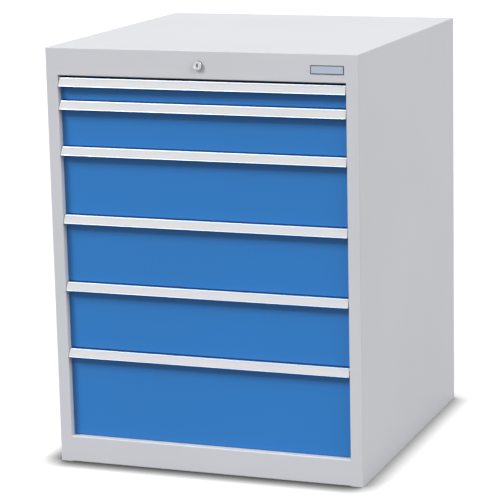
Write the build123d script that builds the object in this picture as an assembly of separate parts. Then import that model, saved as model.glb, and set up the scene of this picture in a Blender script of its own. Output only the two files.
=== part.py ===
from build123d import *
import math
import os

# Reagent drawer cabinet, in millimetres. X runs left to right, -Y is the front, +Z is up.
# The origin is the centre of the housing's footprint, on the floor.

# --- Housing -------------------------------------------------------------------------------
width = 705.0  # over the side panels
depth = 736.0  # from the front plane to the back panel's outer face
sheet = 1.5  # steel sheet of the housing
bend_radius = 1.5  # middle line of a fold in the housing's sheet
stile_width = 27.5  # front face beside the drawers
stile_return = 25.0  # how far the stile's edge is folded back into the housing
rail_return = 25.0  # how far the front rails are folded back
rail_upturn = 12.0  # stiffening edge behind the top rail
bottom_rail_height = 58.5
top_rail_height = 59.5  # with the top panel's edge
top_gap = 4.5  # between the top drawer and the top rail
rear_flange = 20.0  # side panel's flange behind the back panel
back_inset = 2.0  # back panel's edge inside the side panel's
rim_height = 12.0  # folded rim of the floor pan and of the top panel
bolt_spacing_x = 600.0  # floor fixing holes
bolt_spacing_y = 600.0
bolt_hole_radius = 5.5
rivet_radius = 2.0
rivet_head_radius = 4.0
rivet_head_height = 1.2
rivets_per_side = 7
rivet_end_distance = 40.0
rivet_play = 0.05

# --- Drawers, from the top one down ---------------------------------------------------------
front_heights = [50.0, 100.0, 150.0, 150.0, 150.0, 200.0]
front_side_gap = 1.5  # between a front and the stile
front_sheet = 1.2
front_bend_radius = 1.5
front_recess = 14.0  # front's face behind the front plane
front_lean = 4.0  # how much further back the front stands behind its handle
front_slope_height = 18.0
front_bottom_gap = 0.5  # above the handle or rail below
tray_sheet = 1.2
tray_rise = 6.0  # tray's bottom above the bottom of its front's space
tray_headroom = 8.0  # tray's top below the top of that space
tray_hem = 4.0  # edge turned inward along the tray's top
rear_space = 116.0  # from the tray's rear wall to the back panel's outer face
slot_pitch = 50.0  # slots for partitions in the tray's walls
slot_width = 3.0
slot_margin = 8.0  # wall left above and below a slot

# --- Handles --------------------------------------------------------------------------------
handle_height = 18.5
handle_top_gap = 0.5
handle_overhang = 2.5  # lower edge in front of the front plane
handle_setback = 5.0  # upper edge behind the front plane
handle_wall = 2.8
handle_top_wall = 2.0
handle_back_wall = 2.0
handle_back_height = 11.5
label_lip = 2.0  # edge that holds the label strip, measured along the face
label_recess = 0.8
label_thickness = 0.5
label_play = 0.15
label_end_margin = 1.0

# --- Runners --------------------------------------------------------------------------------
runner_height = 24.0
runner_depth = 8.5
runner_sheet = 1.5
runner_bend_radius = 1.2
runner_rise = 20.0  # runner's middle above the bottom of the front's space
runner_side_gap = 1.5  # between a runner and the carriage's bar
runner_front_margin = 5.0  # drawer runner's front end behind the tray's front wall
runner_tail = 84.0  # drawer runner's rear end behind the tray's rear wall
bar_thickness = 2.0
bar_height = 18.0
bar_length = 550.0
opening_clearance = 2.0  # runners inside the edge of the opening
roller_gap = 0.3  # rolling gap above and below a roller
roller_end_gap = 0.4
roller_bore_play = 0.1
axle_radius = 3.0
axle_end_margin = 16.0  # outermost roller from the bar's end
roller_spacing = 200.0
carcass_runner_front = 33.0  # carcass runner's front end behind the front plane
carcass_runner_rear = 12.0  # its rear end in front of the back panel's outer face

# --- Uprights -------------------------------------------------------------------------------
upright_width = 40.0
front_upright_place = 32.0  # front upright's edge behind the front plane
rear_upright_place = 130.0  # rear upright's far edge from the back panel's outer face
upright_slot_pitch = 25.0
upright_slot_width = 12.0
upright_slot_height = 6.0
upright_slot_margin = 30.0

# --- Nameplate (blank) ----------------------------------------------------------------------
plate_width = 72.5
plate_height = 18.5
plate_thickness = 0.8
plate_border = 2.4
plate_dish = 0.3
plate_edge_distance = 3.8  # from the edge of the opening
plate_drop = 2.8  # plate's middle below the lock's

# --- Central lock ---------------------------------------------------------------------------
rosette_radius = 10.0
rosette_height = 6.0
rosette_bevel = 1.0
housing_radius = 9.0
housing_length = 22.0
mount_play = 0.1
plug_radius = 7.0
plug_play = 0.08
plug_inset = 0.4
plug_tail = 4.0  # plug's end behind the lock housing
keyway_width = 2.6
keyway_height = 8.6
keyway_depth = 10.0
nut_across_flats = 24.0
nut_thickness = 4.0
lock_rod_radius = 4.0
lock_rod_play = 0.3
crank_radius = 12.0  # pin's distance from the rod's axis
crank_thickness = 3.0
crank_hub_radius = 9.0
crank_tip_radius = 5.0
crank_gap = 0.5
crank_turn = 90.0
pin_radius = 2.5
pin_play = 0.5
channel_width = 60.0
channel_gap = 14.0  # from the tray's rear wall to the channel's face
channel_floor_gap = 7.0  # channel's ends clear of the rims
lock_bar_width = 20.0
lock_bar_head_width = 40.0
lock_bar_head_height = 16.0
lock_bar_thickness = 2.5
lock_bar_play = 0.4
lock_bar_end_margin = 20.0
guide_wall = 3.0
guide_height = 12.0
guide_rise = 24.0
guided_height = 150.0  # drawers at least this high have a guide behind them
hook_width = 4.0
hook_thickness = 4.0
hook_tip_height = 12.0
hook_tip_thickness = 3.0
hook_play = 1.0
hook_top_gap = 1.5  # raised hook's tip below the catch plate
catch_width = 20.0
catch_reach = 10.0
catch_sheet = 2.0
catch_lip = 8.0
catch_top_margin = 5.0  # below the tray's top edge

cut_margin = 1.0  # how far a cutter reaches past the face that it opens

# --- Places worked out from the sizes above ---------------------------------------------------
front_y = -depth / 2
back_y = depth / 2
opening_x = width / 2 - stile_width
drawers_top_z = bottom_rail_height + sum(front_heights)
top_rail_z = drawers_top_z + top_gap
height = top_rail_z + top_rail_height
under_top_z = height - sheet
front_face_y = front_y + front_recess
tray_front_y = front_face_y + front_lean + front_sheet
tray_rear_y = back_y - rear_space
runner_stack = 2 * (runner_depth + runner_side_gap) + bar_thickness
carcass_web_x = opening_x - opening_clearance
tray_x = carcass_web_x - runner_stack
carcass_runner_y = front_y + carcass_runner_front
travel = tray_rear_y - tray_front_y
lock_z = top_rail_z + top_rail_height / 2
plug_end_y = front_y + housing_length + plug_tail
channel_y = tray_rear_y + channel_gap
channel_bottom_z = sheet + rim_height + channel_floor_gap
channel_top_z = under_top_z - rim_height - sheet
crank_y = channel_y + sheet + crank_gap
lock_bar_y = crank_y + crank_thickness + crank_gap
half_turn = math.radians(crank_turn / 2)
pin_x = -crank_radius * math.cos(half_turn)
pin_z = lock_z - crank_radius * math.sin(half_turn)
lock_lift = 2 * crank_radius * math.sin(half_turn)
hook_drop = lock_lift + hook_tip_height + hook_top_gap  # hook's underside below the catch plate


def block(x0, x1, y0, y1, z0, z1):
    """A block between two corners."""
    centre = Pos((x0 + x1) / 2, (y0 + y1) / 2, (z0 + z1) / 2)
    return centre * Box(x1 - x0, y1 - y0, z1 - z0)


def rod(radius, start, length, axis="Y"):
    """A round bar that starts at a point and runs along +X or +Y."""
    turn = Rot(0, 90, 0) if axis == "X" else Rot(-90, 0, 0)
    return Pos(*start) * turn * Cylinder(radius, length, align=(Align.CENTER, Align.CENTER, Align.MIN))


def folded(points, thickness, radius, length):
    """A folded sheet: its middle line with rounded bends, thickened, and extruded upward."""
    middle = FilletPolyline(*points, radius=radius)
    return extrude(trace(middle, thickness), length, dir=(0, 0, 1))


def folded_upright(points, z0, z1, thickness=sheet, radius=bend_radius):
    """A folded sheet drawn in plan, (x, y), and extruded from z0 to z1."""
    return Pos(0, 0, z0) * folded(points, thickness, radius, z1 - z0)


def folded_across(points, x0, x1, thickness=sheet, radius=bend_radius):
    """A folded sheet drawn in side view, (y, z), and extruded from x0 to x1."""
    side_view = Plane((x0, 0, 0), x_dir=(0, 1, 0), z_dir=(1, 0, 0))
    return side_view * folded(points, thickness, radius, x1 - x0)


def folded_along(points, y0, y1, thickness=runner_sheet, radius=runner_bend_radius):
    """A folded sheet drawn in front view, (x, z), and extruded from y1 forward to y0."""
    front_view = Plane((0, y1, 0), x_dir=(1, 0, 0), z_dir=(0, -1, 0))
    return front_view * folded(points, thickness, radius, y1 - y0)


def across(points, x0, x1):
    """A solid bar with a section drawn in side view, (y, z), from x0 to x1."""
    side_view = Plane((x0, 0, 0), x_dir=(0, 1, 0), z_dir=(1, 0, 0))
    section = make_face(Polyline(*points, close=True))
    return side_view * extrude(section, x1 - x0, dir=(0, 0, 1))


def other_side(shape):
    return mirror(shape, about=Plane.YZ)


def save(node, solids):
    """Write one node, whose solids stay separate, as parts/NODE.step."""
    shape = solids[0] if len(solids) == 1 else Compound(children=list(solids))
    export_step(shape, f"parts/{node}.step")


def spread(count, low, high):
    """Places evenly spaced from low to high."""
    return [low + (high - low) * i / (count - 1) for i in range(count)]


def rivet_places():
    """Centres, (x, z), of the rivets down the right-hand edge of the back panel."""
    x = width / 2 - (rear_flange + back_inset) / 2
    return [(x, z) for z in spread(rivets_per_side, rivet_end_distance, height - rivet_end_distance)]


def rivet_holes():
    """Cutters for the rivets of the right-hand edge, through the back panel and the flange."""
    start_y = back_y - 3 * sheet
    return [rod(rivet_radius + rivet_play, (x, start_y, z), 4 * sheet) for x, z in rivet_places()]


# --- Housing ----------------------------------------------------------------------------------
def side_panel():
    """Right side with its front stile and its rear flange, folded from one sheet."""
    stile_y = front_y + sheet / 2
    wall_x = width / 2 - sheet / 2
    flange_y = back_y - 1.5 * sheet
    wall = [(wall_x, stile_y), (wall_x, flange_y), (width / 2 - rear_flange, flange_y)]
    edge_x = opening_x + sheet / 2
    beside_drawers = [(edge_x, front_y + stile_return), (edge_x, stile_y)] + wall
    beside_rail = [(opening_x, stile_y)] + wall
    panel = folded_upright(beside_drawers, bottom_rail_height, top_rail_z)
    panel += folded_upright(beside_rail, 0, bottom_rail_height)
    panel += folded_upright(beside_rail, top_rail_z, under_top_z)
    return panel - rivet_holes()


def rim(y0, y1, z0, z1):
    """A folded rim that stands inside the housing's walls."""
    x_half = width / 2 - sheet
    outside = RectangleRounded(2 * x_half, y1 - y0, bend_radius)
    inside = RectangleRounded(2 * (x_half - sheet), y1 - y0 - 2 * sheet, bend_radius / 2)
    return Pos(0, (y0 + y1) / 2, z0) * extrude(outside - inside, z1 - z0, dir=(0, 0, 1))


def top_panel():
    """The top: a plate over the whole housing, with a rim below it."""
    corner = bend_radius + sheet / 2
    plate = Pos(0, 0, under_top_z) * extrude(RectangleRounded(width, depth, corner), sheet, dir=(0, 0, 1))
    plate = chamfer(plate.faces().sort_by(Axis.Z)[-1].edges(), sheet / 2)
    return plate + rim(front_y + sheet, back_y - 2 * sheet, under_top_z - rim_height, under_top_z)


def floor_pan():
    """The floor: a plate on the ground with a rim inside the walls and holes for floor bolts."""
    y0 = front_y + rail_return + sheet
    y1 = back_y - 2 * sheet
    outline = RectangleRounded(width - 2 * sheet, y1 - y0, bend_radius)
    pan = Pos(0, (y0 + y1) / 2, 0) * extrude(outline, sheet, dir=(0, 0, 1))
    pan += rim(y0, y1, 0, sheet + rim_height)
    for x in (-bolt_spacing_x / 2, bolt_spacing_x / 2):
        for y in (-bolt_spacing_y / 2, bolt_spacing_y / 2):
            pan -= Pos(x, y, sheet / 2) * Cylinder(bolt_hole_radius, 4 * sheet)
    return pan


def back_panel():
    """A flat panel riveted to the side panels' rear flanges."""
    half = width / 2 - back_inset
    panel = block(-half, half, back_y - sheet, back_y, 0, under_top_z)
    holes = rivet_holes()
    return panel - holes - [other_side(hole) for hole in holes]


def back_rivets():
    """Rivets of both edges: a domed head outside and a shank through panel and flange."""
    rivets = []
    for x, z in rivet_places():
        shank = rod(rivet_radius, (x, back_y - 2 * sheet, z), 2 * sheet)
        head = rod(rivet_head_radius, (x, back_y, z), rivet_head_height)
        head = fillet(head.edges().sort_by(Axis.Y)[-1], rivet_head_height / 2)
        rivets += [shank + head, other_side(shank + head)]
    return rivets


def top_rail():
    """The rail above the drawers, which holds the lock."""
    face_y = front_y + sheet / 2
    edge_y = front_y + rail_return
    ledge_z = top_rail_z + sheet / 2
    path = [(face_y, under_top_z), (face_y, ledge_z), (edge_y, ledge_z), (edge_y, top_rail_z + rail_upturn)]
    rail = folded_across(path, -opening_x, opening_x)
    return rail - rod(housing_radius + mount_play, (0, front_y - sheet, lock_z), 3 * sheet)


def bottom_rail():
    """The rail below the drawers, folded back at its top and along the floor."""
    face_y = front_y + sheet / 2
    edge_y = front_y + rail_return
    ledge_z = bottom_rail_height - sheet / 2
    path = [(edge_y, sheet / 2), (face_y, sheet / 2), (face_y, ledge_z), (edge_y, ledge_z)]
    return folded_across(path, -opening_x, opening_x)


def upright(y0):
    """A slotted channel on the right, from floor to top, that the carcass runners hang on."""
    outer_x = width / 2 - 2 * sheet
    web_x = carcass_web_x + sheet / 2
    y_near = y0 + sheet / 2
    y_far = y0 + upright_width - sheet / 2
    path = [(outer_x, y_near), (web_x, y_near), (web_x, y_far), (outer_x, y_far)]
    channel = folded_upright(path, sheet, under_top_z)
    y_mid = y0 + upright_width / 2
    count = int((drawers_top_z - upright_slot_margin - bottom_rail_height) // upright_slot_pitch)
    slots = []
    for i in range(count):
        z = bottom_rail_height + upright_slot_margin + i * upright_slot_pitch
        half = upright_slot_width / 2
        slots.append(block(carcass_web_x - sheet, carcass_web_x + 2 * sheet, y_mid - half, y_mid + half,
                           z, z + upright_slot_height))
    return channel - slots


def runner(web_x, open_x, z, y0, y1):
    """A C-shaped runner with its web at web_x and its mouth at open_x."""
    outward = math.copysign(1, open_x - web_x)
    web = web_x + outward * runner_sheet / 2
    low = z - runner_height / 2 + runner_sheet / 2
    high = z + runner_height / 2 - runner_sheet / 2
    return folded_along([(open_x, low), (web, low), (web, high), (open_x, high)], y0, y1)


def carcass_runners():
    """Right-hand runners of the housing, one per drawer, on the uprights."""
    rear = back_y - carcass_runner_rear
    mouth_x = carcass_web_x - runner_depth
    return [runner(carcass_web_x, mouth_x, z + runner_rise, carcass_runner_y, rear) for z in drawer_places()]


def nameplate():
    """A blank plate with a raised border."""
    x1 = opening_x - plate_edge_distance
    x0 = x1 - plate_width
    z0 = lock_z - plate_drop - plate_height / 2
    z1 = z0 + plate_height
    plate = block(x0, x1, front_y - plate_thickness, front_y, z0, z1)
    dish = block(x0 + plate_border, x1 - plate_border, front_y - 2 * plate_thickness,
                 front_y - plate_thickness + plate_dish, z0 + plate_border, z1 - plate_border)
    return plate - dish


# --- Drawers ----------------------------------------------------------------------------------
def drawer_places():
    """Bottom of each front's space, from the top drawer down."""
    return [drawers_top_z - sum(front_heights[:i + 1]) for i in range(len(front_heights))]


def catch_height(z0, pitch):
    """Underside of the catch plate on a tray's rear wall."""
    return z0 + pitch - tray_headroom - catch_top_margin


def wall_slots(bottom_z, top_z):
    """Cutters for the partition slots in all four walls of a tray."""
    z0 = bottom_z + slot_margin
    z1 = top_z - slot_margin
    half = slot_width / 2
    across_count = int((2 * tray_x - slot_pitch) // (2 * slot_pitch))
    along_count = int((tray_rear_y - tray_front_y - slot_pitch) // slot_pitch)
    middle_y = (tray_front_y + tray_rear_y) / 2
    cutters = []
    for i in range(-across_count, across_count):
        x = (i + 0.5) * slot_pitch
        cutters.append(block(x - half, x + half, tray_rear_y - 2 * tray_sheet, tray_rear_y + tray_sheet,
                             z0, z1))
    for i in range(along_count):
        y = middle_y + (i - (along_count - 1) / 2) * slot_pitch
        cutters.append(block(-tray_x - tray_sheet, tray_x + tray_sheet, y - half, y + half, z0, z1))
    return cutters


def tray(z0, pitch):
    """An open sheet-metal box with a turned-in top edge, slotted walls and a catch at the rear."""
    bottom_z = z0 + tray_rise
    top_z = z0 + pitch - tray_headroom
    body = block(-tray_x, tray_x, tray_front_y, tray_rear_y, bottom_z, top_z)
    inner = tray_x - tray_sheet
    body -= block(-inner, inner, tray_front_y + tray_sheet, tray_rear_y - tray_sheet,
                  bottom_z + tray_sheet, top_z - tray_sheet)
    mouth = tray_x - tray_hem
    body -= block(-mouth, mouth, tray_front_y + tray_hem, tray_rear_y - tray_hem, top_z - 2 * tray_sheet,
                  top_z + tray_sheet)
    body -= wall_slots(bottom_z + runner_height, top_z) if pitch > 2 * runner_height + slot_margin else []
    plate_z = catch_height(z0, pitch)
    tip_y = tray_rear_y + catch_reach
    half = catch_width / 2
    body += block(-half, half, tray_rear_y, tip_y, plate_z, plate_z + catch_sheet)
    body += block(-half, half, tip_y - catch_sheet, tip_y, plate_z - catch_lip, plate_z + catch_sheet)
    return body


def front(z0, pitch):
    """The coloured front: it leans back behind its handle, and is folded back along the bottom."""
    x_half = opening_x - front_side_gap
    face_y = front_face_y + front_sheet / 2
    behind_y = face_y + front_lean
    top_z = z0 + pitch - handle_top_gap - handle_top_wall
    handle_z = z0 + pitch - handle_top_gap - handle_height
    low_z = z0 + front_bottom_gap + front_sheet / 2
    path = [
        (tray_front_y, low_z),
        (face_y, low_z),
        (face_y, handle_z - front_slope_height),
        (behind_y, handle_z),
        (behind_y, top_z),
    ]
    panel = folded_across(path, -x_half, x_half, front_sheet, front_bend_radius)
    end = path + [(tray_front_y, top_z)]
    panel += across(end, x_half - front_sheet, x_half)
    return panel + across(end, -x_half, front_sheet - x_half)


def handle_face(z0, pitch):
    """Lower edge, upper edge and the two directions of the handle's inclined face, in (y, z)."""
    top = Vector(front_y + handle_setback, z0 + pitch - handle_top_gap)
    bottom = Vector(front_y - handle_overhang, z0 + pitch - handle_top_gap - handle_height)
    up = (top - bottom).normalized()
    inward = Vector(up.Y, -up.X)
    return bottom, top, up, inward


def handle(z0, pitch):
    """A drawn section: inclined face with two lips for the label strip, a top, and a back leg."""
    bottom, top, up, inward = handle_face(z0, pitch)
    x_half = opening_x - front_side_gap
    back_y_face = front_face_y + front_lean
    under_z = top.Y - handle_top_wall
    inner = bottom + inward * handle_wall
    low = inner + up * ((bottom.Y - inner.Y) / up.Y)
    high = inner + up * ((under_z - inner.Y) / up.Y)
    leg_z = top.Y - handle_back_height
    lip_low = bottom + up * label_lip
    lip_high = top - up * label_lip
    corners = [
        bottom, lip_low, lip_low + inward * label_recess, lip_high + inward * label_recess, lip_high, top,
        Vector(back_y_face, top.Y), Vector(back_y_face, leg_z), Vector(back_y_face - handle_back_wall, leg_z),
        Vector(back_y_face - handle_back_wall, under_z), high, low,
    ]
    return across([(corner.X, corner.Y) for corner in corners], -x_half, x_half)


def label_strip(z0, pitch):
    """The blank strip that lies between the handle's lips."""
    bottom, top, up, inward = handle_face(z0, pitch)
    x_half = opening_x - front_side_gap - label_end_margin
    seat = inward * label_recess
    outer = inward * (label_recess - label_thickness)
    low = bottom + up * (label_lip + label_play)
    high = top - up * (label_lip + label_play)
    corners = [low + seat, low + outer, high + outer, high + seat]
    return across([(corner.X, corner.Y) for corner in corners], -x_half, x_half)


def drawer_runner(z0):
    """The right-hand runner on a tray's side wall."""
    y0 = tray_front_y + runner_front_margin
    return runner(tray_x, tray_x + runner_depth, z0 + runner_rise, y0, tray_rear_y + runner_tail)


def carriage(z0):
    """Right-hand carriage: a bar, with two rollers in the drawer's runner and two in the housing's."""
    z = z0 + runner_rise
    bar_x = tray_x + runner_depth + runner_side_gap
    y0 = carcass_runner_y
    bar = block(bar_x, bar_x + bar_thickness, y0, y0 + bar_length, z - bar_height / 2, z + bar_height / 2)
    radius = runner_height / 2 - runner_sheet - roller_gap
    reach = runner_side_gap + runner_depth - runner_sheet - roller_end_gap
    solids = []
    first = y0 + axle_end_margin
    last = y0 + bar_length - axle_end_margin
    inner_places = [first, first + roller_spacing]
    for y in inner_places + [last - roller_spacing, last]:
        start = bar_x - reach if y in inner_places else bar_x + bar_thickness
        bar += rod(axle_radius, (start, y, z), reach, "X")
        roller_start = start if y in inner_places else start + roller_end_gap
        length = reach - roller_end_gap
        roller = rod(radius, (roller_start, y, z), length, "X")
        solids.append(roller - rod(axle_radius + roller_bore_play, (start, y, z), reach, "X"))
    return [bar] + solids


# --- Central lock -----------------------------------------------------------------------------
def lock_housing():
    """The lock's fixed barrel with its round face in front of the top rail."""
    face = rod(rosette_radius, (0, front_y - rosette_height, lock_z), rosette_height)
    face = chamfer(face.edges().sort_by(Axis.Y)[0], rosette_bevel)
    barrel = face + rod(housing_radius, (0, front_y, lock_z), housing_length)
    bore_start = (0, front_y - 2 * rosette_height, lock_z)
    return barrel - rod(plug_radius + plug_play, bore_start, housing_length + 4 * rosette_height)


def lock_nut():
    """The nut that clamps the barrel from behind the rail."""
    hexagon = RegularPolygon(nut_across_flats / 2, 6, major_radius=False)
    hexagon -= Circle(housing_radius + mount_play)
    behind_rail = Plane((0, front_y + sheet, lock_z), x_dir=(1, 0, 0), z_dir=(0, -1, 0))
    return behind_rail * extrude(hexagon, -nut_thickness)


def lock_plug():
    """The turning plug with its upright keyway."""
    start_y = front_y - rosette_height + plug_inset
    plug = rod(plug_radius, (0, start_y, lock_z), plug_end_y - start_y)
    half = keyway_width / 2
    low = lock_z - keyway_height / 2
    return plug - block(-half, half, start_y - cut_margin, start_y + keyway_depth, low, low + keyway_height)


def lock_crank():
    """The arm on the rod's rear end, with the pin that lifts the lock bar."""
    hub = rod(crank_hub_radius, (0, crank_y, lock_z), crank_thickness)
    tip = rod(crank_tip_radius, (pin_x, crank_y, pin_z), crank_thickness)
    tilt = -(180 - crank_turn / 2)
    web = block(0, crank_radius, 0, crank_thickness, -crank_tip_radius, crank_tip_radius)
    web = Pos(0, crank_y, lock_z) * Rot(0, -tilt, 0) * web
    pin_length = 2 * crank_gap + lock_bar_thickness
    return hub + tip + web + rod(pin_radius, (pin_x, crank_y + crank_thickness, pin_z), pin_length)


def lock_rod():
    """The rod from the plug back to the crank, above the drawers."""
    return rod(lock_rod_radius, (0, plug_end_y, lock_z), crank_y - plug_end_y)


def hook_places():
    """Underside of each drawer's hook with the lock open."""
    heights = zip(drawer_places(), front_heights)
    return [catch_height(z0, pitch) - hook_drop for z0, pitch in heights]


def lock_bar():
    """The bar that rises behind the drawers, with one hook per drawer."""
    rear_y = lock_bar_y + lock_bar_thickness
    half = lock_bar_width / 2
    head = lock_bar_head_width / 2
    top = pin_z + lock_bar_head_height / 2
    low = min(hook_places()) - lock_bar_end_margin
    bar = block(-half, half, lock_bar_y, rear_y, low, top)
    bar += block(-head, head, lock_bar_y, rear_y, top - lock_bar_head_height, top)
    slot_half = pin_radius + pin_play
    slot_out = -crank_radius - pin_radius - hook_play
    slot_in = pin_x + pin_radius + hook_play
    bar -= block(slot_out, slot_in, lock_bar_y - sheet, rear_y + sheet, pin_z - slot_half, pin_z + slot_half)
    tip_y = tray_rear_y + catch_reach - catch_sheet - hook_play - hook_tip_thickness
    for z in hook_places():
        arm = hook_width / 2
        bar += block(-arm, arm, tip_y, lock_bar_y, z, z + hook_thickness)
        bar += block(-arm, arm, tip_y, tip_y + hook_tip_thickness, z, z + hook_tip_height)
    return bar


def lock_channel():
    """The upright channel behind the drawers that the lock bar rises in."""
    side_x = channel_width / 2 - sheet / 2
    face_y = channel_y + sheet / 2
    inner_y = back_y - sheet
    path = [(-side_x, inner_y), (-side_x, face_y), (side_x, face_y), (side_x, inner_y)]
    channel = folded_upright(path, channel_bottom_z, channel_top_z)
    cutters = [rod(lock_rod_radius + lock_rod_play, (0, channel_y - sheet, lock_z), 3 * sheet)]
    half = hook_width / 2 + hook_play
    for z in hook_places():
        top = z + hook_tip_height + lock_lift + hook_play
        cutters.append(block(-half, half, channel_y - sheet, channel_y + 2 * sheet, z - hook_play, top))
    return channel - cutters


def lock_bar_guides():
    """Guides on the channel's face that hold the lock bar upright."""
    half = lock_bar_width / 2 + lock_bar_play
    near_y = channel_y + sheet
    bar_near = lock_bar_y - lock_bar_play
    bar_far = lock_bar_y + lock_bar_thickness + lock_bar_play
    guides = []
    for z0, pitch in zip(drawer_places(), front_heights):
        if pitch < guided_height:
            continue
        low = z0 + guide_rise
        high = low + guide_height
        outer = block(-half - guide_wall, half + guide_wall, near_y, bar_far + guide_wall, low, high)
        passage = block(-half, half, bar_near, bar_far, low - cut_margin, high + cut_margin)
        guides.append(outer - passage)
    return guides


# --- Write every node ---------------------------------------------------------------------------
def save_housing():
    right = side_panel()
    save("side_right", [right])
    save("side_left", [other_side(right)])
    save("top_panel", [top_panel()])
    save("floor_pan", [floor_pan()])
    save("back_panel", [back_panel()])
    save("back_rivets", back_rivets())
    save("top_rail", [top_rail()])
    save("bottom_rail", [bottom_rail()])
    save("nameplate", [nameplate()])
    places = {"front": front_y + front_upright_place, "rear": back_y - rear_upright_place}
    for name, y in places.items():
        right = upright(y)
        save(f"upright_{name}_right", [right])
        save(f"upright_{name}_left", [other_side(right)])
    runners = carcass_runners()
    save("carcass_runners_right", runners)
    save("carcass_runners_left", [other_side(one) for one in runners])


def save_lock():
    save("lock_housing", [lock_housing()])
    save("lock_nut", [lock_nut()])
    save("lock_plug", [lock_plug()])
    save("lock_rod", [lock_rod()])
    save("lock_crank", [lock_crank()])
    save("lock_bar", [lock_bar()])
    save("lock_channel", [lock_channel()])
    save("lock_bar_guides", lock_bar_guides())


def save_drawer(number, z0, pitch):
    name = f"drawer_{number}"
    save(f"{name}_tray", [tray(z0, pitch)])
    save(f"{name}_front", [front(z0, pitch)])
    save(f"{name}_handle", [handle(z0, pitch)])
    save(f"{name}_label_strip", [label_strip(z0, pitch)])
    rail = drawer_runner(z0)
    save(f"{name}_runners", [rail, other_side(rail)])
    solids = carriage(z0)
    save(f"{name}_carriages", solids + [other_side(solid) for solid in solids])


os.makedirs("parts", exist_ok=True)
save_housing()
save_lock()
for index, space_z in enumerate(drawer_places()):
    save_drawer(index + 1, space_z, front_heights[index])
print(f"housing {width} x {depth} x {height}, travel {travel:.1f}, lock lift {lock_lift:.3f}")
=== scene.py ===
# %% [markdown]
# # A drawer cabinet for reagents, dressed round its CAD frame
#
# The construction comes from CAD: every folded sheet, tray, runner and lock part is already a
# mesh at its real size, in metres, and moves with its own body. This notebook gives each of
# them its finish, and models again in finer detail what a viewer looks at first: the handles
# and their label strips, the lock's face and the nameplate.
#
# The first cell loads that frame. It comes before everything else, because each later piece
# takes its place from the frame and not from numbers typed a second time.

import math

import bmesh
import bpy
from mathutils import Matrix, Quaternion, Vector


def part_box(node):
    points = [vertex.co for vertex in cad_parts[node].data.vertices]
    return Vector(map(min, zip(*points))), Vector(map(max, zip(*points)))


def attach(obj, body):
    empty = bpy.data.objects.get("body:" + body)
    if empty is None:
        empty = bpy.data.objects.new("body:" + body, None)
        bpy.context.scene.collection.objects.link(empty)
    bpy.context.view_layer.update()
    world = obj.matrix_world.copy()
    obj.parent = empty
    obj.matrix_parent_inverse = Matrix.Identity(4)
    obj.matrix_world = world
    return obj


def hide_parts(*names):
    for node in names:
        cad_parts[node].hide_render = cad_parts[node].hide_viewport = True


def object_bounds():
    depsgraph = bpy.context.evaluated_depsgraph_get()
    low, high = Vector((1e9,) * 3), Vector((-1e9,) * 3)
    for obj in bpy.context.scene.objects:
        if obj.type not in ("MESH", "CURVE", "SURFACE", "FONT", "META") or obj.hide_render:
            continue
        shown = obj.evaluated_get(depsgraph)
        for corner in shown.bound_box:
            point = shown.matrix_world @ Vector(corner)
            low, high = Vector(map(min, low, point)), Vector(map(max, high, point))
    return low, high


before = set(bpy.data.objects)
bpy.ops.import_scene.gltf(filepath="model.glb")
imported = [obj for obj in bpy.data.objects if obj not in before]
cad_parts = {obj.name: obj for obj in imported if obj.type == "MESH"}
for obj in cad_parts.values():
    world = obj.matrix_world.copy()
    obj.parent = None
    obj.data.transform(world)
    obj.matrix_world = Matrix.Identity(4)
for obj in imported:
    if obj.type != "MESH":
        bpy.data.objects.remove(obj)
cad_low, cad_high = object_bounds()
print("CAD box in metres:", [round(v, 4) for v in cad_high - cad_low])

# %% [markdown]
# ## The camera
#
# The photograph was taken with a long lens from the front right, from above the top. Its
# vanishing lines gave a first azimuth, elevation, distance and roll, and a fit to the
# cabinet's edges gave the values written here. The edges fit best with the lens shifted
# sideways by about 0.3 of the picture's width, as if the picture had been trimmed on one
# side. Other views keep the shift, so it is held at 0.1 and the rest is fitted to that. The
# camera could also be aimed with a constraint at an empty, but a constraint hides the
# numbers, and other views of the scene turn the camera themselves.

# %% Camera
CAMERA_PLACE = Vector((1.7184, -4.6276, 1.4607))
CAMERA_AZIMUTH = math.radians(19.389)
CAMERA_ELEVATION = math.radians(11.902)
CAMERA_ROLL = math.radians(-1.003)
CAMERA_LENS = 158.378  # millimetres, on a 36 mm wide sensor
CAMERA_SHIFT = -0.1  # of the picture's width


def look_direction(azimuth, elevation):
    """The direction a camera looks in, for an azimuth from +Y and an elevation above the horizon."""
    level = math.cos(elevation)
    return Vector((-math.sin(azimuth) * level, math.cos(azimuth) * level, -math.sin(elevation)))


camera_data = bpy.data.cameras.new("camera")
camera_data.lens = CAMERA_LENS
camera_data.sensor_width = 36.0
camera_data.shift_x = CAMERA_SHIFT
camera = bpy.data.objects.new("camera", camera_data)
camera.location = CAMERA_PLACE
camera.rotation_mode = "QUATERNION"
aim = look_direction(CAMERA_AZIMUTH, CAMERA_ELEVATION).to_track_quat("-Z", "Y")
camera.rotation_quaternion = aim @ Quaternion((0, 0, 1), CAMERA_ROLL)
bpy.context.scene.collection.objects.link(camera)
bpy.context.scene.camera = camera
print("camera at", [round(v, 3) for v in CAMERA_PLACE])

# %% [markdown]
# ## Helpers for materials
#
# Every finish below is a node tree that reads Object coordinates. All pieces sit at the
# origin with their place in their mesh, so Object coordinates are metres on the cabinet, and
# a grain or a speckle has the same real scale on every piece. A picture texture could do it
# too, but it would need UV maps on every sheet and would blur close up.
#
# `Finish` keeps one material's tree together. Numbers that are the same all over go straight
# on the shader's sockets, and only what varies is linked.


# %% Material helpers
FINE_LINE = 0.00002  # height of what rolling, drawing, turning and moulding leave


def srgb(red, green, blue):
    """A colour given as the eye sees it on a screen, 0 to 255, as linear light."""
    def linear(value):
        part = value / 255
        return part / 12.92 if part <= 0.04045 else ((part + 0.055) / 1.055) ** 2.4
    return (linear(red), linear(green), linear(blue), 1.0)


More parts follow.
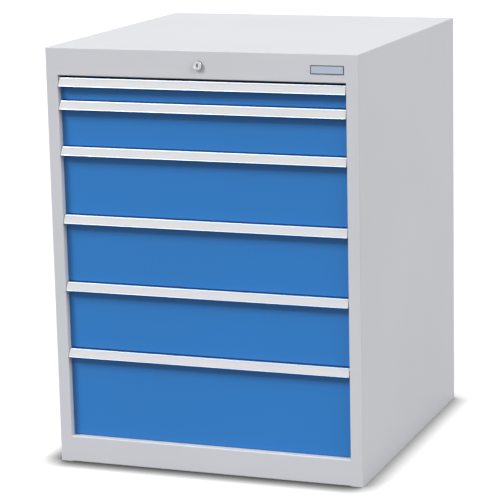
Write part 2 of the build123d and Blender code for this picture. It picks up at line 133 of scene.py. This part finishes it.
def shade(colour, factor):
    """The same colour, lighter or darker."""
    return tuple(min(1.0, part * factor) for part in colour[:3]) + (1.0,)


class Finish:
    """A material with one Principled shader, and short calls that add nodes to it."""

    def __init__(self, name, colour, roughness, metallic=0.0, **sockets):
        self.material = bpy.data.materials.new(name)
        self.material.use_nodes = True
        self.tree = self.material.node_tree
        self.shader = self.tree.nodes["Principled BSDF"]
        self.coordinates = self.tree.nodes.new("ShaderNodeTexCoord").outputs["Object"]
        self.set("Base Color", colour)
        self.set("Roughness", roughness)
        self.set("Metallic", metallic)
        for socket, value in sockets.items():
            self.set(socket.replace("_", " ").title().replace("Ior", "IOR"), value)

    def set(self, socket, value):
        self.shader.inputs[socket].default_value = value

    def feed(self, socket, output):
        self.tree.links.new(output, self.shader.inputs[socket])

    def node(self, kind, inputs=(), **settings):
        """A new node: inputs is a dict of socket to a value or to another node's output."""
        made = self.tree.nodes.new(kind)
        for setting, value in settings.items():
            setattr(made, setting, value)
        for socket, value in dict(inputs).items():
            if isinstance(value, bpy.types.NodeSocket):
                self.tree.links.new(value, made.inputs[socket])
            else:
                made.inputs[socket].default_value = value
        return made

    def stretched(self, scale):
        """Object coordinates scaled along each axis, for a grain that runs one way."""
        inputs = {"Vector": self.coordinates, "Scale": scale}
        return self.node("ShaderNodeMapping", inputs).outputs["Vector"]

    def noise(self, scale, detail=2.0, vector=None, roughness=0.5):
        inputs = {"Scale": scale, "Detail": detail, "Roughness": roughness}
        inputs["Vector"] = vector or self.coordinates
        return self.node("ShaderNodeTexNoise", inputs).outputs["Fac"]

    def ramp(self, factor, low, high, from_low=0.35, from_high=0.65):
        """Spreads a noise's middle range over low to high."""
        inputs = {"Value": factor, "From Min": from_low, "From Max": from_high}
        inputs.update({"To Min": low, "To Max": high})
        return self.node("ShaderNodeMapRange", inputs).outputs["Result"]

    def mix(self, factor, first, second):
        made = self.node("ShaderNodeMix", data_type="RGBA")
        for place, value in ((0, factor), (6, first), (7, second)):
            socket = made.inputs[place]
            if isinstance(value, bpy.types.NodeSocket):
                self.tree.links.new(value, socket)
            else:
                socket.default_value = value
        return made.outputs[2]

    def bump(self, height, distance, strength=1.0, below=None):
        """Raises the surface by a height pattern; below is a bump that this one is added to."""
        inputs = {"Height": height, "Distance": distance, "Strength": strength}
        if below is not None:
            inputs["Normal"] = below
        return self.node("ShaderNodeBump", inputs).outputs["Normal"]


def paint_node(node_name, finish):
    """Gives a CAD node its finish, in one slot that replaces the slots its mesh had."""
    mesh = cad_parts[node_name].data
    mesh.materials.clear()
    mesh.materials.append(finish.material)


def nodes_named(*endings):
    return [name for name in sorted(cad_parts) if name.endswith(endings)]


# %% [markdown]
# ## Powder coat
#
# The housing, the fronts and the trays are powder coated. Up close such paint isn't smooth:
# it has the shallow ripple called orange peel, a few millimetres from crest to crest, and a
# much finer grain. Both are noise through a Bump node, with heights of hundredths of a
# millimetre. Real displacement would cost millions of faces for a ripple nobody could feel.
# A slow cloud of noise moves the colour by a percent or two, as light and film thickness do
# over a metre of sheet.


# %% Powder coat
PEEL_SCALE = 320.0  # ripples per metre
GRAIN_SCALE = 2400.0
CLOUD_SCALE = 2.6
PEEL_HEIGHT = 0.00004
GRAIN_HEIGHT = 0.00001


def powder_coat(name, colour, roughness):
    finish = Finish(name, colour, roughness, ior=1.5)
    cloud = finish.ramp(finish.noise(CLOUD_SCALE, detail=3.0), 0.0, 1.0)
    finish.feed("Base Color", finish.mix(cloud, shade(colour, 0.985), shade(colour, 1.015)))
    peel = finish.noise(PEEL_SCALE, detail=1.0)
    grain = finish.noise(GRAIN_SCALE, detail=2.0)
    finish.feed("Roughness", finish.ramp(grain, roughness - 0.04, roughness + 0.06))
    ripple = finish.bump(peel, PEEL_HEIGHT, 0.5)
    finish.feed("Normal", finish.bump(grain, GRAIN_HEIGHT, 0.35, below=ripple))
    return finish


HOUSING_GREY = srgb(198, 199, 204)
TRAY_GREY = srgb(190, 192, 195)
FRONT_BLUE = srgb(26, 112, 184)
housing_paint = powder_coat("light_grey_powder_coat", HOUSING_GREY, 0.46)
front_paint = powder_coat("blue_powder_coat", FRONT_BLUE, 0.44)
tray_paint = powder_coat("pale_grey_tray_coat", TRAY_GREY, 0.5)

HOUSING_NODES = (
    "side_left", "side_right", "top_panel", "top_rail", "bottom_rail", "back_panel", "floor_pan")
for name in HOUSING_NODES:
    paint_node(name, housing_paint)
for name in nodes_named("_front"):
    paint_node(name, front_paint)
for name in nodes_named("_tray"):
    paint_node(name, tray_paint)
print("powder coated:", len(HOUSING_NODES) + len(nodes_named("_front", "_tray")), "nodes")

# %% [markdown]
# ## Zinc-plated steel
#
# Runners, uprights and the lock's inner parts are galvanised. Electroplated zinc is bright
# with a faint blue cast, and it shows cloudy patches and the fine lines of the rolling mill.
# The lines run along the part's length, so the noise is squeezed across it: along Y for the
# runners and along Z for the uprights. Voronoi cells would give the coarse flowers of
# hot-dip zinc instead, which is wrong for these small parts.

# %% Zinc plating
RUNNER_GRAIN = (900.0, 9.0, 900.0)
UPRIGHT_GRAIN = (900.0, 900.0, 9.0)


def zinc_plate(name, colour, grain, roughness=0.34):
    finish = Finish(name, colour, roughness, metallic=1.0)
    lines = finish.noise(1.0, detail=3.0, vector=finish.stretched(grain))
    patches = finish.noise(38.0, detail=4.0)
    tone = finish.mix(finish.ramp(patches, 0.0, 1.0), shade(colour, 0.86), shade(colour, 1.08))
    tinted = finish.mix(finish.ramp(lines, 0.0, 0.35), tone, shade(colour, 0.7))
    finish.feed("Base Color", tinted)
    finish.feed("Roughness", finish.ramp(patches, roughness - 0.07, roughness + 0.1))
    finish.feed("Normal", finish.bump(lines, FINE_LINE, 0.5))
    return finish


runner_zinc = zinc_plate("zinc_plated_runner_steel", srgb(196, 200, 206), RUNNER_GRAIN)
upright_zinc = zinc_plate("zinc_plated_upright_steel", srgb(190, 194, 200), UPRIGHT_GRAIN)
rivet_steel = zinc_plate("plated_rivet_steel", srgb(200, 202, 206), (400.0, 400.0, 400.0), 0.3)
for name in nodes_named("_runners", "carcass_runners_left", "carcass_runners_right"):
    paint_node(name, runner_zinc)
UPRIGHT_NODES = [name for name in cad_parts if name.startswith("upright")]
for name in UPRIGHT_NODES + ["lock_channel", "lock_bar", "lock_bar_guides"]:
    paint_node(name, upright_zinc)
for name in ("lock_rod", "lock_crank"):
    paint_node(name, runner_zinc)
paint_node("back_rivets", rivet_steel)
print("zinc plated uprights:", len(UPRIGHT_NODES))

# %% [markdown]
# ## Carriages: a steel bar with nylon rollers
#
# A carriage is one CAD node with several solids: on each side of the cabinet a flat bar with
# four axle stubs, and four rollers. They need two finishes in one material. The bar lies
# between two upright planes, so the distance from the cabinet's middle tells steel from nylon:
# whatever stands out of the bar's two faces is taken as a roller. The axles' short ends stand
# out as well, so they get the nylon finish although they are steel. Splitting the mesh into
# loose parts would tell them apart, but then every part would need its own place in the
# frame.

# %% Two finishes in one material
BAR_THICKNESS = 0.002
BAR_INSET = 0.0081  # bar's outer face inside the outermost roller's face
SEAM = 0.0002


def combine(finish, operation, first, second):
    """One step of arithmetic in a finish's tree."""
    return finish.node("ShaderNodeMath", {0: first, 1: second}, operation=operation).outputs[0]


def carriage_finish(name, node_name):
    low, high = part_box(node_name)
    finish = Finish(name, srgb(190, 194, 200), 0.36)
    split = finish.node("ShaderNodeSeparateXYZ", {"Vector": finish.coordinates})
    across = finish.node("ShaderNodeMath", {0: split.outputs["X"]}, operation="ABSOLUTE").outputs[0]
    bar_middle = high.x - BAR_INSET - BAR_THICKNESS / 2
    from_bar = combine(finish, "SUBTRACT", across, bar_middle)
    distance = finish.node("ShaderNodeMath", {0: from_bar}, operation="ABSOLUTE").outputs[0]
    is_roller = combine(finish, "GREATER_THAN", distance, BAR_THICKNESS / 2 + SEAM)
    steel_tone = finish.noise(60.0, detail=4.0)
    steel = finish.mix(finish.ramp(steel_tone, 0.0, 1.0), srgb(176, 181, 188), srgb(202, 205, 210))
    turned = finish.noise(500.0, detail=2.0)
    nylon = finish.mix(finish.ramp(turned, 0.0, 1.0), srgb(226, 224, 214), srgb(236, 234, 226))
    finish.feed("Base Color", finish.mix(is_roller, steel, nylon))
    finish.feed("Metallic", combine(finish, "SUBTRACT", 1.0, is_roller))
    finish.feed("Normal", finish.bump(turned, FINE_LINE, 0.3))
    return finish


carriage_steel = carriage_finish("carriage_bar_and_rollers", "drawer_1_carriages")
for name in nodes_named("_carriages"):
    paint_node(name, carriage_steel)
print("carriages:", len(nodes_named("_carriages")))

# %% [markdown]
# ## Helpers for new pieces
#
# New pieces are modelled with bmesh operators, straight in the cabinet's own coordinates, so
# their objects stay at the origin. `section_bar` is the one used most: a closed section is
# drawn as a face in the YZ plane, extruded along X, and its long edges are bevelled. The same
# bar could be a curve with a bevel object, but a mesh keeps exact corners and lets single
# edges be rounded.


# %% Mesh helpers
def new_piece(name, mesh_data, body, finish):
    """Turns a bmesh into a piece that rides on a body and has a finish."""
    mesh = bpy.data.meshes.new(name)
    bmesh.ops.recalc_face_normals(mesh_data, faces=mesh_data.faces)
    mesh_data.to_mesh(mesh)
    mesh_data.free()
    mesh.materials.append(finish.material)
    piece = bpy.data.objects.new(name, mesh)
    bpy.context.scene.collection.objects.link(piece)
    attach(piece, body)
    return piece


def bevel_edges(mesh_data, edges, width, segments=2):
    bmesh.ops.bevel(
        mesh_data, geom=edges, offset=width, segments=segments, profile=0.5, affect="EDGES",
        clamp_overlap=True, material=-1)


def is_along_x(edge):
    first, second = edge.verts
    return abs((first.co - second.co).normalized().x) > 0.999


def section_bar(corners, x0, x1, bevel=0.0, segments=2):
    """A bar whose section is a list of (y, z) corners, from x0 to x1."""
    made = bmesh.new()
    ring = [made.verts.new((x0, y, z)) for y, z in corners]
    face = made.faces.new(ring)
    grown = bmesh.ops.extrude_face_region(made, geom=[face])
    moved = [item for item in grown["geom"] if isinstance(item, bmesh.types.BMVert)]
    bmesh.ops.translate(made, verts=moved, vec=(x1 - x0, 0, 0))
    if bevel:
        bevel_edges(made, [edge for edge in made.edges if is_along_x(edge)], bevel, segments)
    return made


def block_mesh(low, high, bevel=0.0, segments=2):
    """A block between two corners with all its edges rounded."""
    made = bmesh.new()
    size = Vector(high) - Vector(low)
    middle = (Vector(high) + Vector(low)) / 2
    place = Matrix.Translation(middle) @ Matrix.Diagonal((*size, 1.0))
    bmesh.ops.create_cube(made, size=1.0, matrix=place)
    if bevel:
        bevel_edges(made, made.edges[:], bevel, segments)
    return made


def lathe(profile, centre, steps=64):
    """Spins a profile of (radius, y) points round the axis along Y through centre."""
    made = bmesh.new()
    points = [made.verts.new((centre.x + radius, y, centre.z)) for radius, y in profile]
    edges = [made.edges.new(pair) for pair in zip(points, points[1:])]
    bmesh.ops.spin(
        made, geom=points + edges, cent=centre, axis=(0, 1, 0), angle=math.tau, steps=steps,
        use_merge=True)
    bmesh.ops.remove_doubles(made, verts=made.verts, dist=1e-6)
    return made


# %% [markdown]
# ## Handles
#
# Each drawer is pulled by a drawn aluminium section that runs the whole width of its front.
# Its face leans back at the top, fingers reach up behind its lower edge, and two thin lips
# along the face hold a label strip. From a step away the lips read as two bright lines with
# a paler band between them, so their width and their rounded edges matter more than anything
# else on the front.
#
# The section is measured from the frame's own handle, and a fine bevel is added along every
# edge, because a drawn section has no knife edges and the bevels catch the light.

# %% Anodised aluminium
# The grey is the aluminium's own; its bluish cast is painted reflection of the blue fronts.
ALUMINIUM_WITH_PAINTED_BLUE_REFLECTION = srgb(174, 189, 210)


def anodised(name, colour, roughness, grain):
    finish = Finish(name, colour, roughness, metallic=1.0)
    lines = finish.noise(1.0, detail=4.0, vector=finish.stretched(grain), roughness=0.6)
    drawn = finish.ramp(lines, 0.0, 1.0)
    finish.feed("Base Color", finish.mix(drawn, shade(colour, 0.95), shade(colour, 1.03)))
    finish.feed("Roughness", finish.ramp(lines, roughness - 0.05, roughness + 0.08))
    finish.feed("Normal", finish.bump(lines, FINE_LINE, 0.6))
    return finish


handle_aluminium = anodised("drawn_aluminium_with_painted_blue_reflection", ALUMINIUM_WITH_PAINTED_BLUE_REFLECTION, 0.36, (6.0, 1800.0, 1800.0))
print("aluminium grain runs along X")

# %% Handle section
FACE_TILT = 0.0075  # how much further back the face's upper edge stands
FACE_WALL = 0.0028
TOP_WALL = 0.002
BACK_WALL = 0.002
BACK_HEIGHT = 0.0115
LIP_WIDTH = 0.002
LIP_HEIGHT = 0.0008
HANDLE_BEVEL = 0.00028
CAP_THICKNESS = 0.0012
drawer_count = len(nodes_named("_handle"))


def handle_axes(node_name):
    """Lower and upper edge of a handle's face in (y, z), the way up it, and the way into it."""
    low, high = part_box(node_name)
    bottom = Vector((low.y, low.z))
    top = Vector((low.y + FACE_TILT, high.z))
    up = (top - bottom).normalized()
    inward = Vector((up.y, -up.x))
    return bottom, top, up, inward


def handle_section(node_name):
    """The section's corners: the face with its lips, then over the top and down the back leg."""
    low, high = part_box(node_name)
    bottom, top, up, inward = handle_axes(node_name)
    under = high.z - TOP_WALL
    inner = bottom + inward * FACE_WALL
    inner_low = inner + up * ((bottom.y - inner.y) / up.y)
    inner_high = inner + up * ((under - inner.y) / up.y)
    lip_low = bottom + up * LIP_WIDTH
    lip_high = top - up * LIP_WIDTH
    leg = high.z - BACK_HEIGHT
    return [
        bottom, lip_low, lip_low + inward * LIP_HEIGHT, lip_high + inward * LIP_HEIGHT, lip_high, top,
        Vector((high.y, high.z)), Vector((high.y, leg)), Vector((high.y - BACK_WALL, leg)),
        Vector((high.y - BACK_WALL, under)), inner_high, inner_low,
    ]


def make_handle(number):
    node_name = f"drawer_{number}_handle"
    low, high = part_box(node_name)
    x0, x1 = low.x + CAP_THICKNESS, high.x - CAP_THICKNESS
    bar = section_bar(handle_section(node_name), x0, x1, HANDLE_BEVEL)
    piece = new_piece(
        f"drawer_{number}_handle_bar", bar, f"drawer_{number}", handle_aluminium)
    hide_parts(node_name)
    return piece


handle_bars = [make_handle(number) for number in range(1, drawer_count + 1)]
print("handles:", len(handle_bars), "faces each:", len(handle_bars[0].data.polygons))

# %% [markdown]
# ## End caps
#
# The sawn ends of the section are closed by thin plastic caps. A cap has the section's
# outline, so it is the same polygon extruded by a millimetre, without the recess for the
# label. It fills the hollow behind the face too, which hides the section's inside from the
# side.

# %% End caps
CAP_INSET = 0.0002


def moulded_plastic(name, colour, roughness):
    finish = Finish(name, colour, roughness, ior=1.46)
    sparks = finish.noise(1500.0, detail=2.0)
    grain = finish.ramp(sparks, 0.0, 1.0)
    finish.feed("Base Color", finish.mix(grain, shade(colour, 0.97), shade(colour, 1.02)))
    finish.feed("Normal", finish.bump(sparks, FINE_LINE, 0.4))
    return finish


cap_plastic = moulded_plastic("pale_grey_cap_plastic", srgb(205, 207, 210), 0.5)


def make_caps(number):
    node_name = f"drawer_{number}_handle"
    low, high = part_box(node_name)
    bottom, top, up, inward = handle_axes(node_name)
    outline = [
        bottom + (up + inward) * CAP_INSET, top + inward * CAP_INSET - up * CAP_INSET,
        Vector((high.y - CAP_INSET, high.z - CAP_INSET)),
        Vector((high.y - CAP_INSET, high.z - BACK_HEIGHT)),
        Vector((high.y - BACK_WALL, high.z - BACK_HEIGHT)), bottom + inward * FACE_WALL,
    ]
    spans = {"left": (low.x, low.x + CAP_THICKNESS), "right": (high.x - CAP_THICKNESS, high.x)}
    for side, (x0, x1) in spans.items():
        cap = section_bar(outline, x0, x1, HANDLE_BEVEL)
        name = f"drawer_{number}_handle_cap_{side}"
        new_piece(name, cap, f"drawer_{number}", cap_plastic)


for number in range(1, drawer_count + 1):
    make_caps(number)
print("end caps:", 2 * drawer_count)

# %% [markdown]
# ## Label strips
#
# Between the lips lies a strip of card under clear film. It is left blank. Film over card
# looks like matt paper with a soft gloss on top, which is what the shader's coat layer does,
# so one thin bar with that finish stands for both. Modelling the film as its own transparent
# sheet would add noise to the render and nothing to the look.

# %% Label strips
STRIP_BEVEL = 0.0001
FIBRE_HEIGHT = 0.00001
CARD = srgb(194, 194, 198)
WARM_CARD = srgb(198, 196, 195)


def film_over_card(name, colour):
    finish = Finish(name, colour, 0.62, ior=1.45, coat_weight=0.35, coat_roughness=0.28)
    fibres = finish.noise(1.0, detail=5.0, vector=finish.stretched((90.0, 700.0, 700.0)))
    clouds = finish.noise(9.0, detail=2.0)
    warm = finish.mix(finish.ramp(clouds, 0.0, 1.0), shade(colour, 0.985), WARM_CARD)
    finish.feed("Base Color", finish.mix(finish.ramp(fibres, 0.0, 0.5), warm, shade(colour, 0.965)))
    finish.feed("Normal", finish.bump(fibres, FIBRE_HEIGHT, 0.3))
    return finish


label_card = film_over_card("card_under_film", CARD)
STRIP_THICKNESS = 0.0005
STRIP_PLAY = 0.00015


def make_label_strip(number):
    low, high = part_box(f"drawer_{number}_label_strip")
    bottom, top, up, inward = handle_axes(f"drawer_{number}_handle")
    near = inward * (LIP_HEIGHT - STRIP_THICKNESS)
    far = inward * LIP_HEIGHT
    first = bottom + up * (LIP_WIDTH + STRIP_PLAY)
    last = top - up * (LIP_WIDTH + STRIP_PLAY)
    strip = section_bar([first + far, first + near, last + near, last + far], low.x, high.x, STRIP_BEVEL)
    piece = new_piece(f"drawer_{number}_label", strip, f"drawer_{number}", label_card)
    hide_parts(f"drawer_{number}_label_strip")


for number in range(1, drawer_count + 1):
    make_label_strip(number)
print("label strips:", drawer_count)

# %% [markdown]
# ## The lock's face
#
# The cylinder lock shows a polished rosette about the size of a thumbnail, a ring groove,
# and the plug with its upright keyway. Turned parts come from a lathe, and `bmesh.ops.spin`
# is Blender's lathe: it turns half of the section round the axis. The plug stays the CAD
# node, because its keyway is already cut and it turns with the lock's body. Its keyway would
# still mirror the white studio, which a deep narrow slot hardly does, so just behind the
# plug's face its colour is painted shade, dark and not metallic. A round spot on the slot's
# upper part is painted shade too, for the keyhole's wider mouth, which is not cut.
#
# Only the rosette's face is polished. Its side is given a dark grey and less metal, which is
# painted shade for the flank turned away from the light, and that is what sets the pale disc
# off from the pale rail, so those faces have a material of their own.

# %% Polished nickel
NICKEL = srgb(206, 207, 211)
# Painted shade for the keyway's inside and its uncut mouth.
KEYWAY_PAINTED_SHADE = srgb(14, 14, 16)
KEYWAY_START = 0.0006  # behind the plug's face
KEY_MOUTH_RADIUS = 0.0019
KEY_MOUTH_RISE = 0.0012  # of the round mouth above the lock's centre
RING_SCALE = 14000.0  # radians per metre
RING_HEIGHT = 0.000004


def polished_nickel(name, colour, centre):
    """Fine rings round the lock's axis, as a lathe and a polishing wheel leave them."""
    finish = Finish(name, colour, 0.2, metallic=1.0)
    vector_math = "ShaderNodeVectorMath"
    centred = finish.node(
        vector_math, {0: finish.coordinates, 1: centre}, operation="SUBTRACT").outputs[0]
    flat = finish.node(
        vector_math, {0: centred, 1: (1.0, 0.0, 1.0)}, operation="MULTIPLY").outputs[0]
    radius = finish.node(vector_math, {0: flat}, operation="LENGTH").outputs["Value"]
    rings = combine(finish, "MULTIPLY", radius, RING_SCALE)
    wave = finish.node("ShaderNodeMath", {0: rings}, operation="SINE").outputs[0]
    smears = finish.noise(220.0, detail=3.0)
    finish.polish = finish.mix(finish.ramp(smears, 0.0, 1.0), shade(colour, 0.94), colour)
    finish.feed("Base Color", finish.polish)
    finish.feed("Roughness", finish.ramp(smears, 0.16, 0.28))
    finish.feed("Normal", finish.bump(wave, RING_HEIGHT, 0.5))
    return finish


def nickel_with_painted_keyway_shade(name, colour, centre, face_y):
    """Nickel with painted shade inside the keyway and at its round mouth."""
    finish = polished_nickel(name, colour, centre)
    split = finish.node("ShaderNodeSeparateXYZ", {"Vector": finish.coordinates})
    behind = combine(finish, "GREATER_THAN", split.outputs["Y"], face_y + KEYWAY_START)
    mouth = Vector((centre.x, face_y, centre.z + KEY_MOUTH_RISE))
    reach = finish.node(
        "ShaderNodeVectorMath", {0: finish.coordinates, 1: mouth}, operation="DISTANCE")
    mouth_painted_shade = combine(finish, "LESS_THAN", reach.outputs["Value"], KEY_MOUTH_RADIUS)
    # Inside the keyway and at the mouth the nickel gives way to painted shade.
    inside = combine(finish, "MAXIMUM", behind, mouth_painted_shade)
    finish.feed("Base Color", finish.mix(inside, finish.polish, KEYWAY_PAINTED_SHADE))
    finish.feed("Metallic", combine(finish, "SUBTRACT", 1.0, inside))
    return finish


lock_low, lock_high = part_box("lock_housing")
lock_centre = (lock_low + lock_high) / 2
nickel = polished_nickel("polished_nickel", NICKEL, lock_centre)
plug_face_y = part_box("lock_plug")[0].y
paint_node("lock_plug", nickel_with_painted_keyway_shade("polished_nickel_with_painted_keyway_shade", NICKEL, lock_centre, plug_face_y))
paint_node("lock_nut", nickel)
print("lock centre height", round(lock_centre.z, 4))

# %% Rosette and barrel
ROSETTE_HEIGHT = 0.006
BARREL_RADIUS = 0.009
BORE_RADIUS = 0.00708
BORE_CHAMFER = 0.0003
GROOVE_PLACE = 0.0005  # its near edge from the bore
GROOVE_WIDTH = 0.0008
GROOVE_FLANK = 0.0002
GROOVE_DEPTH = 0.0004
EDGE_ROUND = 0.0008
rosette_radius = (lock_high.x - lock_low.x) / 2


def rosette_profile():
    """The rosette's section from its bore outward and back to the bore behind the barrel."""
    face = lock_low.y
    wall = face + ROSETTE_HEIGHT
    near = BORE_RADIUS + GROOVE_PLACE
    far = near + GROOVE_WIDTH
    floor = face + GROOVE_DEPTH
    outer = rosette_radius
    return [
        (BORE_RADIUS, face + BORE_CHAMFER), (BORE_RADIUS + BORE_CHAMFER, face),
        (near, face), (near + GROOVE_FLANK, floor), (far - GROOVE_FLANK, floor), (far, face),
        (outer - EDGE_ROUND, face), (outer - EDGE_ROUND / 2, face + EDGE_ROUND / 8),
        (outer - EDGE_ROUND / 8, face + EDGE_ROUND / 2), (outer, face + EDGE_ROUND), (outer, wall),
        (BARREL_RADIUS, wall), (BARREL_RADIUS, lock_high.y), (BORE_RADIUS, lock_high.y),
        (BORE_RADIUS, face + BORE_CHAMFER),
    ]


SIDE_DEPTH = 0.0005  # how far inside the rim a face still counts as the side
SIDE_SLOPE = 0.3
# The side's dark grey is painted shade for the flank turned away from the light.
rosette_side_painted_shade = polished_nickel("rosette_side_in_painted_shade", srgb(104, 105, 110), lock_centre)
rosette_side_painted_shade.set("Metallic", 0.4)


def make_rosette():
    """The rosette: its face is polished, and its side has a dark grey of painted shade."""
    turned = lathe(rosette_profile(), lock_centre)
    for face in turned.faces:
        out = face.calc_center_median() - lock_centre
        if math.hypot(out.x, out.z) > rosette_radius - SIDE_DEPTH and abs(face.normal.y) < SIDE_SLOPE:
            face.material_index = 1
    piece = new_piece("lock_rosette", turned, "cabinet", nickel)
    piece.data.materials.append(rosette_side_painted_shade.material)
    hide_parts("lock_housing")
    return piece


rosette = make_rosette()
print("rosette faces:", len(rosette.data.polygons))

# %% [markdown]
# ## The nameplate
#
# A thin satin plate with a dark border sits at the right end of the top rail. Here it
# carries nothing. The border is a frame round a slightly sunk field. An inset of the plate's
# front face makes both at once: the outer ring is the border, and the inner face moves back.

# %% Nameplate
PLATE_BORDER = 0.0024
PLATE_DISH = 0.0003
PLATE_BEVEL = 0.00012
field_metal = anodised("pale_blue_satin_plate", srgb(168, 178, 194), 0.42, (30.0, 30.0, 1500.0))
border_paint = moulded_plastic("dark_border_paint", srgb(50, 54, 60), 0.45)


def make_nameplate():
    low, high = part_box("nameplate")
    plate = block_mesh(low, high)
    front = min(plate.faces, key=lambda face: face.calc_center_median().y)
    bmesh.ops.inset_region(plate, faces=[front], thickness=PLATE_BORDER, depth=0.0)
    rim = list(front.edges)
    bmesh.ops.translate(plate, verts=front.verts, vec=(0, PLATE_DISH, 0))
    front.material_index = 1
    bevel_edges(plate, rim, PLATE_BEVEL)
    piece = new_piece("nameplate_blank", plate, "cabinet", border_paint)
    piece.data.materials.append(field_metal.material)
    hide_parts("nameplate")
    return piece


nameplate = make_nameplate()
print("nameplate width:", round(nameplate.dimensions.x, 4))

# %% [markdown]
# ## Floor, backdrop and light
#
# The cabinet stands on a seamless white floor. The floor has to be white in the picture and
# still take the cabinet's shadow, so its material has two parts: an ordinary diffuse surface,
# and a glow. The camera, and mirrors and glass, see a strong glow that lifts the bare floor
# to white. The cabinet gets a weaker one, which stands for the light of a whole white room
# and keeps the lower half of its sides as bright as the upper half.
#
# In a white studio the shadow that remains is the dark seam where the cabinet meets the
# floor and the light can't get in. Ambient occlusion measures just that, so it darkens what
# is seen within a hand's breadth of the base. Its normal leans towards the rear right, which
# draws the seam wider in front and on the left. A shadow from the lamps alone would be either
# too faint beside the glow or spread too far.

# %% Floor and world
FLOOR_SIZE = 60.0
FLOOR_PAINT = (0.15, 0.15, 0.15, 1.0)
FLOOR_GLOW = 0.93  # seen by the camera
FLOOR_BOUNCE = 0.21  # seen by the cabinet
SEAM_REACH = 0.055
SEAM_DARKNESS = 2.4
SEAM_LEAN = Vector((0.2, 0.45, 1.0)).normalized()  # makes the seam wider in front and on the left
SKY_LIGHT = 0.37


def seen_directly(tree):
    """1 for rays from the camera, from gloss and through glass, and 0 for light on the object."""
    path = tree.nodes.new("ShaderNodeLightPath")
    total = path.outputs["Is Camera Ray"]
    for name in ("Is Glossy Ray", "Is Transmission Ray"):
        larger = tree.nodes.new("ShaderNodeMath")
        larger.operation = "MAXIMUM"
        tree.links.new(total, larger.inputs[0])
        tree.links.new(path.outputs[name], larger.inputs[1])
        total = larger.outputs[0]
    return total


def seam_shadow(tree):
    """Close to 1 on the open floor, and darker towards whatever stands on it."""
    hidden = tree.nodes.new("ShaderNodeAmbientOcclusion")
    hidden.inputs["Distance"].default_value = SEAM_REACH
    leaning = tree.nodes.new("ShaderNodeCombineXYZ")
    for socket, part in zip(leaning.inputs, SEAM_LEAN):
        socket.default_value = part
    tree.links.new(leaning.outputs[0], hidden.inputs["Normal"])
    deeper = tree.nodes.new("ShaderNodeMath")
    deeper.operation = "POWER"
    deeper.inputs[1].default_value = SEAM_DARKNESS
    tree.links.new(hidden.outputs["AO"], deeper.inputs[0])
    return deeper.outputs[0]


def mixed_shader(tree, factor, first, second):
    made = tree.nodes.new("ShaderNodeMixShader")
    for socket, output in zip(made.inputs, (factor, first, second)):
        tree.links.new(output, socket)
    return made.outputs[0]


def diffuse_shader(tree, colour):
    matt = tree.nodes.new("ShaderNodeBsdfDiffuse")
    matt.inputs["Color"].default_value = colour
    return matt.outputs[0]


def glowing_shader(tree, surface, strength):
    """The surface with an even white glow added."""
    glow = tree.nodes.new("ShaderNodeEmission")
    glow.inputs["Strength"].default_value = strength
    lifted = tree.nodes.new("ShaderNodeAddShader")
    tree.links.new(surface, lifted.inputs[0])
    tree.links.new(glow.outputs[0], lifted.inputs[1])
    return lifted.outputs[0]


def floor_material():
    """A matt floor that glows a little towards the cabinet, and more, with a seam, when seen."""
    material = bpy.data.materials.new("white_floor")
    material.use_nodes = True
    tree = material.node_tree
    tree.nodes.clear()
    matt = diffuse_shader(tree, FLOOR_PAINT)
    dark = diffuse_shader(tree, (0.0, 0.0, 0.0, 1.0))
    lighting = glowing_shader(tree, matt, FLOOR_BOUNCE)
    shown = mixed_shader(tree, seam_shadow(tree), dark, glowing_shader(tree, matt, FLOOR_GLOW))
    output = tree.nodes.new("ShaderNodeOutputMaterial")
    surface = mixed_shader(tree, seen_directly(tree), lighting, shown)
    tree.links.new(surface, output.inputs["Surface"])
    return material


def make_floor():
    made = bmesh.new()
    bmesh.ops.create_grid(made, x_segments=1, y_segments=1, size=FLOOR_SIZE / 2)
    bmesh.ops.translate(made, verts=made.verts, vec=(0, 0, cad_low.z))
    mesh = bpy.data.meshes.new("floor")
    made.to_mesh(mesh)
    made.free()
    mesh.materials.append(floor_material())
    floor = bpy.data.objects.new("floor", mesh)
    bpy.context.scene.collection.objects.link(floor)


def make_world():
    world = bpy.data.worlds.new("studio")
    world.use_nodes = True
    tree = world.node_tree
    background = tree.nodes["Background"]
    background.inputs["Color"].default_value = (1.0, 1.0, 1.0, 1.0)
    span = tree.nodes.new("ShaderNodeMapRange")
    span.inputs["To Min"].default_value = SKY_LIGHT
    span.inputs["To Max"].default_value = 1.0
    tree.links.new(seen_directly(tree), span.inputs["Value"])
    tree.links.new(span.outputs["Result"], background.inputs["Strength"])
    bpy.context.scene.world = world


make_floor()
make_world()
print("floor at", round(cad_low.z, 4))

# %% [markdown]
# ## Lamps
#
# The light is that of a white studio: part of it comes from all round, and two broad, soft
# lamps above, on the left and on the right, give it a direction, so that the top is the
# brightest face and each handle throws a soft shadow on its front. The lamps give more than
# half of the light on the top and the front. Sun lamps are used, because they light the whole
# floor evenly, and their angle sets how soft the shadows are. Area lamps close by would fade
# across the floor.


# %% Lamps
def soft_sun(name, azimuth, elevation, strength, softness):
    """A lamp in a direction given from the front: azimuth 0 is in front, 90 is on the right."""
    data = bpy.data.lights.new(name, "SUN")
    data.energy = strength
    data.angle = math.radians(softness)
    lamp = bpy.data.objects.new(name, data)
    toward = -look_direction(math.radians(azimuth), math.radians(elevation))
    lamp.rotation_mode = "QUATERNION"
    lamp.rotation_quaternion = (-toward).to_track_quat("-Z", "Y")
    lamp.location = toward * 5
    bpy.context.scene.collection.objects.link(lamp)
    return lamp


soft_sun("overhead_left", -45.0, 43.0, 2.7, 20.0)
soft_sun("overhead_right", 72.0, 35.0, 1.76, 40.0)
bpy.context.scene.view_settings.view_transform = "Standard"
